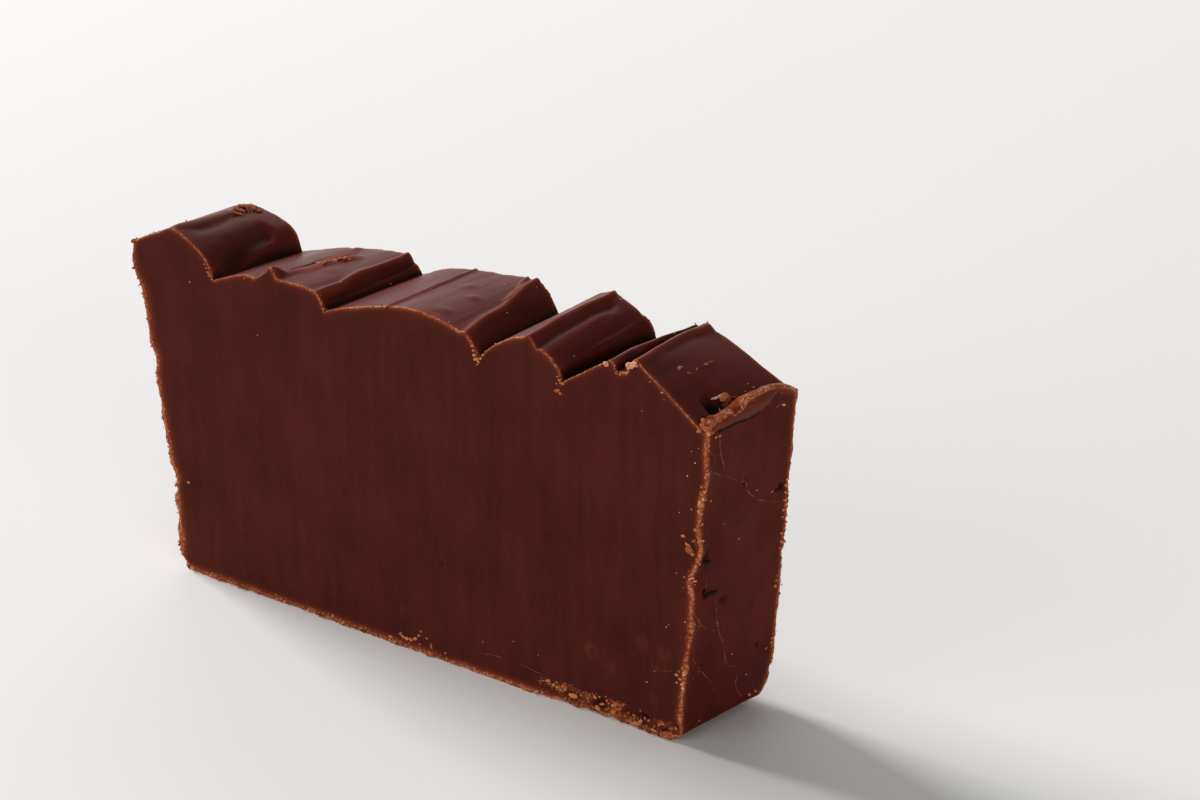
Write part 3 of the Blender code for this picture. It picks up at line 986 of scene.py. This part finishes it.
# A crumb's roughness as a share of its size. The large ones get knobs, as (waves to the
# metre, strength). Then how far a seen crumb is turned and tilted, and how it lies.
CRUMB_ROUGHNESS = 0.42
KNOBBLY_SIZE = 0.55
KNOBS = ((2200.0, 1.3), (6000.0, 0.5))
SEEN_TURN, SEEN_TILT, SLOT_SLACK = 0.5, 0.3, 0.1
SEEN_LIFT, SEEN_REST = 0.35, (0.35, 0.6)
NEARLY_LEVEL = 0.3
CRUMB_BLACK = (0.008, 0.002, 0.001, 1.0)
CRUMB_DEEP = (0.115, 0.022, 0.011, 1.0)
CRUMB_ORANGE = (0.42, 0.098, 0.034, 1.0)
CRUMB_TAN = (0.70, 0.26, 0.105, 1.0)
CRUMB_PALE = (0.80, 0.58, 0.44, 1.0)
CRUMB_GRAIN = (2600.0, 3.0)
CRUMB_BREAKS = 0.5
PHOTO_WIDTH, PHOTO_HEIGHT = 1200, 800
SIGHT_STEPS = 12

# Half sizes of each shape, as shares of its radius: level, upward and out of the face.
SHAPES = {"lump": (1.2, 0.85, 0.65), "flake": (1.9, 0.8, 0.45), "sliver": (2.6, 0.55, 0.5),
          "upright": (0.55, 2.2, 0.5), "shade_slot": (2.0, 0.55, 0.22), "crust": (1.5, 1.1, 0.35)}

# Larger crumbs seen in the photograph: the pixel, the radius in millimetres, the tone and
# the shape, where it isn't a lump. The tone runs from 0 for dark fudge to 1 for nearly
# white, and a shade slot's is below 0, for black: a flat black piece laid in a crack or slot as painted
# shade.
Seen = namedtuple("Seen", "x y radius tone shape", defaults=("lump",))
SEEN_CRUMBS = {
    "broken edge": (
        (548, 680.5, 0.32, 0.72, "flake"), (557, 686.5, 0.32, 0.62), (561, 689.5, 0.36, 0.70),
        (566, 688, 0.22, 0.60), (573.5, 695.3, 0.54, 0.70, "flake"), (571, 702, 0.58, 0.28),
        (577, 706, 0.50, 0.30), (586, 710, 0.40, 0.36), (598, 708, 0.50, 0.60),
        (602, 704, 0.32, 0.64, "flake"), (595, 714, 0.36, 0.52), (613.5, 705, 0.42, 0.66),
        (614, 711.5, 0.48, 0.60), (620, 709, 0.22, 0.60), (606, 709.5, 0.24, 0.55),
        (607, 722.5, 0.40, 0.60, "flake"), (629, 712.5, 0.30, 0.62), (634, 715, 0.27, 0.58),
        (630, 721, 0.33, 0.64), (625, 716, 0.30, 0.52), (636, 724.5, 0.58, 0.62, "flake"),
        (641, 721.5, 0.36, 0.68), (631, 728, 0.45, 0.56), (645, 718.5, 0.30, 0.64),
        (649, 720.5, 0.29, 0.60), (654, 730, 0.36, 0.72, "flake"), (668, 738, 0.76, 0.42, "flake"),
        (662, 737.5, 0.47, 0.50, "flake"), (674, 735.5, 0.36, 0.56), (671, 742, 0.40, 0.62, "flake"),
        (676.7, 735.5, 0.17, 0.95),
    ),
    "bite beside the right edge": (
        (677, 675, 0.34, 0.64), (680.5, 679, 0.32, 0.68), (682, 684, 0.34, 0.72), (683, 688, 0.38, 0.78),
        (679, 671.5, 0.21, 0.60), (677, 682.5, 0.21, 0.60),
    ),
    "curl on the bottom edge": (
        (401, 633.5, 0.35, 0.52), (403.5, 636.5, 0.39, 0.64), (407.5, 638.5, 0.41, 0.70),
        (411.5, 639.3, 0.36, 0.60), (415.5, 638.3, 0.36, 0.66), (419, 635.5, 0.33, 0.60),
        (421, 631.5, 0.23, 0.50), (390.5, 636.5, 0.28, 0.70, "flake"),
        (431.5, 646, 0.27, 0.56, "upright"), (427, 638.5, 0.23, 0.50), (420, 644, 0.23, 0.45),
        (441, 655, 0.39, 0.28), (446, 653, 0.27, 0.45), (447, 659, 0.28, 0.50),
    ),
    "lumps on the cut's upper rim": (
        (630.5, 365.5, 0.68, 0.80), (634.5, 363.5, 0.50, 0.82), (637, 365.5, 0.34, 0.66),
        (628, 369, 0.36, 0.66), (606.5, 363.8, 0.48, 0.74), (662.5, 392.5, 0.28, 0.74),
    ),
    "patch on the first lap": (
        (238, 210, 0.95, 0.34, "crust"), (245, 207, 1.00, 0.38, "crust"),
        (252.5, 208, 0.95, 0.34, "crust"), (258, 210.5, 0.60, 0.30, "crust"), (234.5, 212.5, 0.32, 0.46),
        (237.5, 214, 0.40, 0.54), (240.5, 214.5, 0.36, 0.50), (243.5, 212, 0.32, 0.42),
        # The four lumps of tone near 0.1 are painted shade in the pits of the patch.
        (246.5, 211.8, 0.30, 0.05), (250, 211.5, 0.30, 0.10), (254, 211.5, 0.34, 0.06),
        (257.5, 212.5, 0.28, 0.12), (248, 209, 0.36, 0.50), (241, 209.5, 0.34, 0.48),
    ),
    "crumbs on the second lap": (
        (313, 262.5, 0.24, 0.50, "flake"), (319, 263, 0.30, 0.54, "flake"),
        (324.5, 262.5, 0.32, 0.56, "flake"), (329, 260.8, 0.24, 0.54, "flake"),
        (335, 260.5, 0.34, 0.56, "flake"), (340, 258.8, 0.36, 0.60, "flake"), (345, 258.3, 0.34, 0.54),
        (349.5, 259.8, 0.26, 0.50),
    ),
    "corners of the crevices": (
        (204.5, 264, 0.20, 0.50), (206.5, 268, 0.22, 0.48, "flake"), (208, 272, 0.26, 0.52),
        (209.5, 276, 0.28, 0.56, "flake"), (212, 279.5, 0.24, 0.50), (214.5, 281, 0.20, 0.54),
        (470.5, 341, 0.20, 0.56), (472, 346, 0.24, 0.54, "flake"), (473.5, 350.5, 0.26, 0.60),
        (474.5, 355, 0.30, 0.58), (476, 359, 0.34, 0.60, "flake"), (478.5, 361.5, 0.34, 0.64),
        (480.5, 358.5, 0.30, 0.58), (483, 355, 0.26, 0.62), (486, 351.5, 0.20, 0.56),
        (477.5, 364.5, 0.22, 0.50), (557.5, 376.5, 0.22, 0.54), (559.5, 380, 0.26, 0.56),
        (562, 383, 0.30, 0.58, "flake"), (557, 390.5, 0.36, 0.44, "flake"), (560.5, 393.5, 0.34, 0.48),
        (566, 381, 0.22, 0.58), (323.5, 308.5, 0.24, 0.54), (326, 309.5, 0.20, 0.58),
    ),
    "painted shadow in the crack below the lip": (
        (722, 430, 0.50, -0.5, "shade_slot"), (727.5, 427.5, 0.52, -0.5, "shade_slot"),
        (733, 424.8, 0.52, -0.5, "shade_slot"), (738.5, 422.5, 0.52, -0.5, "shade_slot"),
        (744.5, 420.5, 0.50, -0.5, "shade_slot"), (750.5, 418, 0.48, -0.5, "shade_slot"),
        (756, 415, 0.42, -0.5, "shade_slot"), (759, 412, 0.30, -0.5, "shade_slot"),
    ),
    "painted shade in the slots of the right end": (
        (779.5, 487.5, 0.62, -0.5, "shade_slot"), (776, 490.5, 0.42, -0.5, "shade_slot"),
        (711, 593.5, 0.75, -0.5, "shade_slot"), (707, 597, 0.50, -0.5, "shade_slot"),
        (743, 483.5, 0.28, -0.5, "shade_slot"), (706, 562, 0.50, -0.4, "shade_slot"), (701, 566, 0.36, -0.4, "shade_slot"),
        (703, 559, 0.30, -0.4, "shade_slot"),
    ),
    "hole beside the lip": (
        # The two nearly white pieces of tone 1.00, a sliver and an upright, are painted highlights on the
        # torn fudge.
        (723.7, 398, 0.85, 0.54), (720.5, 396.5, 0.40, 0.86), (727, 401, 0.60, 0.40),
        (726, 406, 0.55, 0.36), (716, 397.8, 0.38, 1.00, "sliver"), (720.3, 411, 0.30, 1.00, "upright"),
        (707, 429, 0.60, 0.42), (703, 426, 0.55, 0.46), (699.5, 431, 0.45, 0.52),
        (711, 432.5, 0.50, 0.34), (716, 437, 0.28, 0.60), (719.5, 435.5, 0.28, 0.66),
        (704, 421.5, 0.50, 0.44), (733, 398, 0.34, 0.34, "sliver"),
    ),
    "curls on the right edge": (
        (683.5, 536, 0.40, 0.58), (694, 541, 0.40, 0.42), (690, 549.5, 0.68, 0.38),
        (688, 545, 0.34, 0.56, "flake"), (692.5, 554, 0.40, 0.56), (697, 530, 0.48, 0.42),
        (701, 524.5, 0.36, 0.56), (694.5, 581, 0.40, 0.66), (691.5, 578.5, 0.24, 0.86, "sliver"),
        (702, 494, 0.37, 0.56), (703, 505, 0.35, 0.54), (699, 511, 0.32, 0.66),
    ),
    "back right edge": (
        (787, 479, 0.29, 0.66), (786, 485, 0.34, 0.60), (785.5, 492, 0.30, 0.68),
        (784.5, 500, 0.34, 0.64), (783, 510, 0.32, 0.66), (782, 517, 0.27, 0.60), (781, 533, 0.30, 0.64),
        (780.5, 541, 0.37, 0.66), (779.5, 548, 0.27, 0.58), (774.5, 586, 0.40, 0.58),
        (776, 580, 0.34, 0.50), (772, 491, 0.32, 0.40), (771.5, 638, 0.34, 0.60), (771, 642, 0.27, 0.58),
        (749, 694, 0.34, 0.60), (755, 691, 0.29, 0.58), (742, 481, 0.37, 0.34), (765.5, 648, 0.38, 0.42),
    ),
    "spurs on the left end": (
        (132.5, 288, 0.26, 0.40, "sliver"), (134, 268, 0.42, 0.46), (133.5, 241, 0.50, 0.44),
        (147.5, 319, 0.38, 0.44), (152.5, 341, 0.42, 0.46), (157.5, 373, 0.44, 0.42),
        (189, 482, 0.30, 0.66), (185, 538, 0.42, 0.46),
    ),
    "scuffs on the last lap": (
        (679.5, 368, 0.36, 0.50, "flake"), (689, 373, 0.26, 0.50, "flake"),
        (706, 364.5, 0.32, 0.42, "flake"), (711, 362, 0.26, 0.46, "flake"),
        (697, 369, 0.22, 0.42, "flake"), (783.5, 404.5, 0.30, 0.62, "flake"),
    ),
}


def carriers(*pieces):
    """One tree of the faces of the pieces that crumbs can lie on."""
    joined = bmesh.new()
    for piece in pieces:
        joined.from_mesh(piece.data)
    tree = BVHTree.FromBMesh(joined)
    joined.free()
    return tree


def seen_at(tree, pixel):
    """The place and the normal of the fudge that shows at a pixel of the photograph."""
    scale = LENS / SENSOR * PHOTO_WIDTH
    sight = Vector(((pixel[0] - PHOTO_WIDTH / 2) / scale, (PHOTO_HEIGHT / 2 - pixel[1]) / scale, -1.0))
    eye, way = Vector(VIEW_PLACE), (view_matrix().to_3x3() @ sight).normalized()
    place, normal, face, distance = tree.ray_cast(eye, way)
    if place is None:
        place = eye + way * eye.length
        for _ in range(SIGHT_STEPS):
            place, normal, face, distance = tree.find_nearest(eye + way * (place - eye).dot(way))
    return place, normal


def lying_frame(normal):
    """A turn that lays a crumb on a face: its long side level, its thin side outward."""
    level = Vector((0.0, 0.0, 1.0)).cross(normal)
    if level.length < NEARLY_LEVEL:
        level = Vector((1.0, 0.0, 0.0)) - normal * normal.x
    level.normalize()
    return Matrix((level, normal.cross(level), normal)).transposed().to_4x4()


def add_crumb(heap, tone_layer, place, turn, half_sizes, tone, draw):
    """One crumb: a small rough ball, stretched and turned."""
    stretch = Matrix.Diagonal((*half_sizes, 1.0))
    knobbly = max(half_sizes) > KNOBBLY_SIZE * MM
    made = bmesh.ops.create_icosphere(heap, subdivisions=3 if knobbly else 1, radius=1.0,
                                      matrix=Matrix.Translation(place) @ turn @ stretch)
    rough = CRUMB_ROUGHNESS * min(half_sizes)
    for vert in made["verts"]:
        if knobbly:
            for waves, strength in KNOBS:
                vert.co += noise.noise_vector(vert.co * waves) * (strength * rough)
        else:
            vert.co += Vector([draw.uniform(-rough, rough) for _ in range(3)])
        vert[tone_layer] = min(1.0, tone + draw.uniform(-TONE_SPREAD, TONE_SPREAD))


def heaped(name, finish, crumbs, draw):
    """Joins crumbs, given as (place, turn, half sizes, tone), batch by batch into a piece."""
    whole = bmesh.new()
    whole.verts.layers.float.new("tone")
    batch_mesh = bpy.data.meshes.new("crumb_batch")
    for start in range(0, len(crumbs), CRUMB_BATCH):
        heap = bmesh.new()
        tone_layer = heap.verts.layers.float.new("tone")
        for place, turn, half_sizes, tone in crumbs[start:start + CRUMB_BATCH]:
            add_crumb(heap, tone_layer, place, turn, half_sizes, tone, draw)
        heap.to_mesh(batch_mesh)
        heap.free()
        whole.from_mesh(batch_mesh)
    bpy.data.meshes.remove(batch_mesh)
    bmesh.ops.recalc_face_normals(whole, faces=whole.faces)
    return solid_from(whole, name, [finish])


def any_turn(draw):
    return Euler([draw.uniform(0.0, tau) for _ in range(3)]).to_matrix().to_4x4()


def fine_crumbs(piece, draw):
    """Fine crumbs over the piece, thick where its mesh is marked as crumbly."""
    mesh = piece.data
    clinging = mesh.attributes["clinging"].data
    crumbs = []
    for vert in mesh.vertices:
        thick = clinging[vert.index].value
        if thick <= LEAST_CLINGING:
            continue
        size, paleness = (level + more * thick for level, more in (SIZE_GROWTH, TONE_GROWTH))
        for _ in range(int(CRUMBS_PER_PLACE * thick * thick + draw.random())):
            radius = between(*CRUMB_RADIUS, draw.random() ** CRUMB_RARITY) * size * MM
            slide = Vector([draw.gauss(0.0, CRUMB_SLIDE) * MM for _ in range(3)])
            slide -= vert.normal * slide.dot(vert.normal)
            place = vert.co + slide - vert.normal * (CRUMB_SINK * radius)
            half_sizes = [radius * draw.uniform(*stretch) for stretch in CRUMB_STRETCHES]
            place.z = max(place.z, CRUMB_REST * max(half_sizes))
            turn = any_turn(draw)
            crumbs.append((place, turn, half_sizes, draw.uniform(*CRUMB_TONES) * paleness))
    return crumbs


def seen_crumbs(tree, draw):
    """The larger crumbs, each in the place where the photograph shows it."""
    crumbs = []
    for group in SEEN_CRUMBS.values():
        for seen in (Seen(*entry) for entry in group):
            place, normal = seen_at(tree, (seen.x, seen.y))
            slack = SLOT_SLACK if seen.shape == "shade_slot" else 1.0
            tilt = (Matrix.Rotation(slack * draw.uniform(-SEEN_TURN, SEEN_TURN), 4, "Z")
                    @ Matrix.Rotation(slack * draw.uniform(-SEEN_TILT, SEEN_TILT), 4, "X"))
            half_sizes = [seen.radius * MM * stretch for stretch in SHAPES[seen.shape]]
            place = place + normal * (SEEN_LIFT * half_sizes[2])
            place.z = max(place.z, SEEN_REST[0] * half_sizes[0] + SEEN_REST[1] * half_sizes[1])
            crumbs.append((place, lying_frame(normal) @ tilt, half_sizes, seen.tone))
    return crumbs


def crumb_finish():
    """One finish for every crumb: black, dark, orange, tan or nearly white by its tone. On the shade slots
    the black is painted shade.
    """
    material, shader = new_material("crumbs", CRUMB_ORANGE, roughness=0.7, shine=0.15)
    tree = material.node_tree
    fine = even_noise(tree, *CRUMB_GRAIN)
    tone = reckon(tree, "ADD", marked(tree, "tone"), scaled(tree, fine, CRUMB_BREAKS, -CRUMB_BREAKS / 2))
    colour = ramp(tree, tone, ((0.08, CRUMB_BLACK), (0.16, CRUMB_DEEP), (0.42, CRUMB_ORANGE),
                              (0.72, CRUMB_TAN), (0.98, CRUMB_PALE)))
    tree.links.new(colour, shader.inputs["Base Color"])
    add_bump(tree, shader, fine, strength=0.5, distance=0.00008)
    return material


crumb_draw = random.Random(CRUMB_SEED)
carrier = carriers(body, lip)
crumbs_finish = crumb_finish()
edge_crumbs = heaped("edge_crumbs", crumbs_finish, fine_crumbs(body, crumb_draw), crumb_draw)
larger_crumbs = heaped("larger_crumbs", crumbs_finish, seen_crumbs(carrier, crumb_draw), crumb_draw)
for piece in (edge_crumbs, larger_crumbs):
    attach(piece, "root")


# Sugar grains. Here and there a grain of sugar sits in the faces and on the skin, pale
# and about as fine as salt.
GRAIN_RADIUS = (0.07, 0.13)
GRAIN_STRETCH = (0.8, 1.2)
GRAIN_LIFT = 0.3
GRAIN_TONE = 0.93
SEEN_GRAINS = (
    (341, 282), (390.6, 284), (427.5, 281.6), (504.5, 284.3), (536.7, 286.7), (507, 313),
    (621, 299), (674.8, 333.2), (681.8, 367), (650, 381.6), (664, 399.6), (642, 411), (574, 356),
    (556.7, 383.7), (449, 322), (782, 393), (768, 385.5), (190, 281.7), (257.6, 335), (669, 624.6),
    (666.5, 627), (685, 622), (686.5, 636), (732, 654), (746, 674.5), (693, 678), (698, 671.5),
    (647, 682), (654.3, 671.2), (698.7, 448.5), (695.3, 463.2), (691.6, 451.5), (687.6, 476),
    (691.5, 509.3), (679.4, 512.3), (756.4, 490), (724.3, 524.4), (739, 538.6), (710.7, 500.8),
    (701.5, 540.5), (684.3, 577), (676.5, 573), (482.8, 641.8), (513.5, 641.5), (538.3, 655),
    (533, 688.7), (697.5, 731), (699, 721), (704.5, 724.5), (748, 384), (753.5, 387.5),
    (745.5, 391.5),
)
SCATTERED_GRAINS = 60
BACK_SHARE = 0.7


def sugar_grains(tree, draw):
    """The grains that the photograph shows, and about as many on the sides that it doesn't."""
    crumbs = []
    places = [seen_at(tree, pixel) for pixel in SEEN_GRAINS]
    low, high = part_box("fudge_slice")
    for _ in range(SCATTERED_GRAINS):
        spot = Vector([draw.uniform(low[axis], high[axis]) for axis in range(3)])
        if draw.random() < BACK_SHARE:
            spot.y = high[1]
        else:
            spot.x = low[0]
        place, normal, face, distance = tree.find_nearest(spot)
        places.append((place, normal))
    for place, normal in places:
        radius = draw.uniform(*GRAIN_RADIUS) * MM
        half_sizes = [radius * draw.uniform(*GRAIN_STRETCH) for _ in range(3)]
        crumbs.append((place + normal * GRAIN_LIFT * radius, any_turn(draw), half_sizes, GRAIN_TONE))
    return crumbs


grains = heaped("sugar_grains", crumbs_finish, sugar_grains(carrier, crumb_draw), crumb_draw)
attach(grains, "root")


# Hairline cracks. The loaf's side dried and crazed as it set. The raised broken edges of
# its fine cracks show as threads on the right end, whose paler colour is a painted highlight,
# with two fainter ones low on the front cut.

# The way of each crack over the photograph, in its pixels.
SEEN_CRACKS = {
    "from the upper corner": ((719.5, 435), (720.2, 449.4), (721.6, 457), (725.3, 473.9)),
    "upper fork": ((710.5, 453), (715, 456.5), (720, 450.5)),
    "across the middle": ((708, 471), (718, 475), (725.3, 474.4), (731, 478), (737, 481), (745, 478.5)),
    "on to the slot": ((746.7, 490), (752, 495.3), (760, 500.4), (770, 500.4), (781, 501.5)),
    "short link": ((745, 479), (746.5, 485), (747.5, 491)),
    "long lower crack": ((714.5, 600), (716, 608), (716.5, 621.4), (718.6, 629.6), (720.6, 636.7),
                         (722.7, 642.9), (725.2, 661.2), (728.8, 666.3), (734.9, 665.8), (738, 669.4),
                         (736.4, 676.5), (734.9, 683.7), (738, 691.8), (742.5, 698)),
    "fork from the edge": ((693, 611), (697, 618.4), (701, 624.5), (705.3, 629.6), (706.8, 632.7),
                           (704.3, 636.2)),
    "small bridge": ((706.8, 632), (711.4, 630.6), (718.6, 629.6)),
    "level line": ((693.6, 625.5), (703.3, 626)),
    "lower line": ((695.6, 639.3), (701.2, 638.3)),
    "small triangle": ((714.5, 624.5), (717, 621), (718.6, 628.6), (714.5, 624.5)),
    "lower front crack": ((691, 658.2), (697.1, 666.3), (705.3, 675.5), (711.4, 683.7), (715.5, 691.8)),
    "beside the hole": ((705.5, 577), (706, 590), (704.5, 601)),
    "star behind the lip": ((776, 407.5), (780, 404), (784, 405.5), (788, 404)),
    "line on the front cut": ((655, 670), (664, 670.5), (674, 671.5)),
    "crust line on the front cut": ((480, 652.5), (494.8, 656), (513, 660.5), (529, 668.6), (545, 675.4)),
}
CRACK_RADIUS = 0.085
CRACK_WIDTHS = (0.45, 1.3)
CRACK_STEP = 0.5
CRACK_WANDER, CRACK_WAVES = 0.22, 900.0
FAINT_LINE = 0.5
WELDED = 0.000001
CRACK_DARK = (0.13, 0.026, 0.014, 1.0)
CRACK_PAINTED_HIGHLIGHT = (0.42, 0.150, 0.085, 1.0)
CRACK_PATCHES = (500.0, 3.0)


def crack_places(tree, way):
    """Points close together along a crack, wandering a little, on the fudge itself."""
    corners = [seen_at(tree, pixel)[0] for pixel in way]
    places = []
    for start, stop in zip(corners, corners[1:]):
        steps = max(2, round((stop - start).length / (CRACK_STEP * MM)))
        for step in range(steps):
            spot = start.lerp(stop, step / steps)
            spot = spot + noise.noise_vector(spot * CRACK_WAVES) * (CRACK_WANDER * MM)
            places.append(tree.find_nearest(spot)[0])
    return places


# Both crack colours are paler than the fudge: a painted highlight along the crack edges.
def crack_finish():
    material, shader = new_material("crack_edges_painted_highlight", CRACK_DARK, roughness=0.7, shine=0.1)
    patches = even_noise(material.node_tree, *CRACK_PATCHES)
    colour = ramp(material.node_tree, patches, ((0.42, CRACK_DARK), (0.68, CRACK_PAINTED_HIGHLIGHT)))
    material.node_tree.links.new(colour, shader.inputs["Base Color"])
    return material


def hairline_cracks(tree, draw):
    """All the cracks as thin threads, of uneven width, in one mesh."""
    curve = bpy.data.curves.new("hairline_cracks", "CURVE")
    curve.dimensions = "3D"
    curve.bevel_depth = CRACK_RADIUS * MM
    curve.bevel_resolution = 0
    curve.use_fill_caps = True
    for name, way in SEEN_CRACKS.items():
        places = crack_places(tree, way)
        faint = FAINT_LINE if "front cut" in name else 1.0
        spline = curve.splines.new("POLY")
        spline.points.add(len(places) - 1)
        for point, place in zip(spline.points, places):
            point.co = (*place, 1.0)
            point.radius = faint * draw.uniform(*CRACK_WIDTHS)
    threads = bpy.data.objects.new("hairline_threads", curve)
    bpy.context.scene.collection.objects.link(threads)
    mesh = bpy.data.meshes.new_from_object(threads)
    bpy.data.objects.remove(threads)
    shape = bmesh.new()
    shape.from_mesh(mesh)
    bmesh.ops.remove_doubles(shape, verts=shape.verts, dist=WELDED)
    bmesh.ops.recalc_face_normals(shape, faces=shape.faces)
    return solid_from(shape, "hairline_cracks", [crack_finish()])


cracks = hairline_cracks(carrier, crumb_draw)
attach(cracks, "root")
